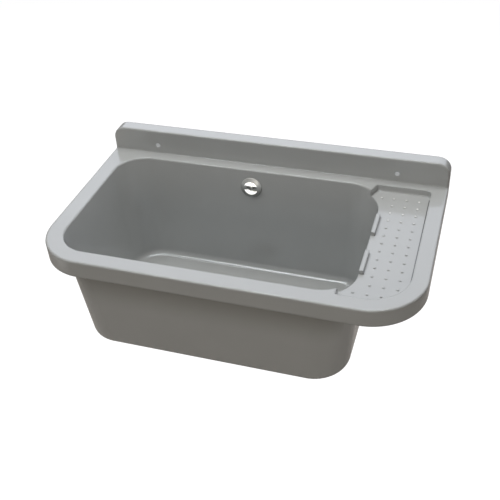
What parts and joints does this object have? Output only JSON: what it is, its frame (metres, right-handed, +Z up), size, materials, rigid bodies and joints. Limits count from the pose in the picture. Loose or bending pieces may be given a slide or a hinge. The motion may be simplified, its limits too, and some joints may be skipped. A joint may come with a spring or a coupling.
{
  "type": "mop service sink",
  "caption": "Wall-hung moulded mop sink with a raised back edge, a deep drafted bowl, a studded soap tray, and an overflow piped to its waste.",
  "frame": {"origin": "midway between the two wall fixing holes, on the wall plane", "axes": "+X across the sink to the right seen from the front, +Y into the wall, +Z up"},
  "size_m": [0.6, 0.35, 0.3235],
  "materials": {
    "basin_plastic": "light grey moulded polypropylene, satin",
    "satin_metal": "satin-chromed plastic",
    "steel": "stainless steel",
    "white_plastic": "natural white polypropylene, satin",
    "rubber": "black rubber",
    "brass": "turned brass"
  },
  "bodies": {
    "root": {"basin": "basin_plastic", "overflow_rosette": "satin_metal", "overflow_screw": "steel", "overflow_seal": "rubber", "overflow_head": "white_plastic", "overflow_insert": "brass", "overflow_pipe": "white_plastic", "upper_nut": "white_plastic", "upper_cone_seal": "rubber", "lower_nut": "white_plastic", "lower_cone_seal": "rubber", "strainer_flange": "steel", "strainer_seal": "rubber", "waste_screw": "steel", "waste_seal": "rubber", "waste_body": "white_plastic", "waste_insert": "brass"}
  },
  "joints": []
}
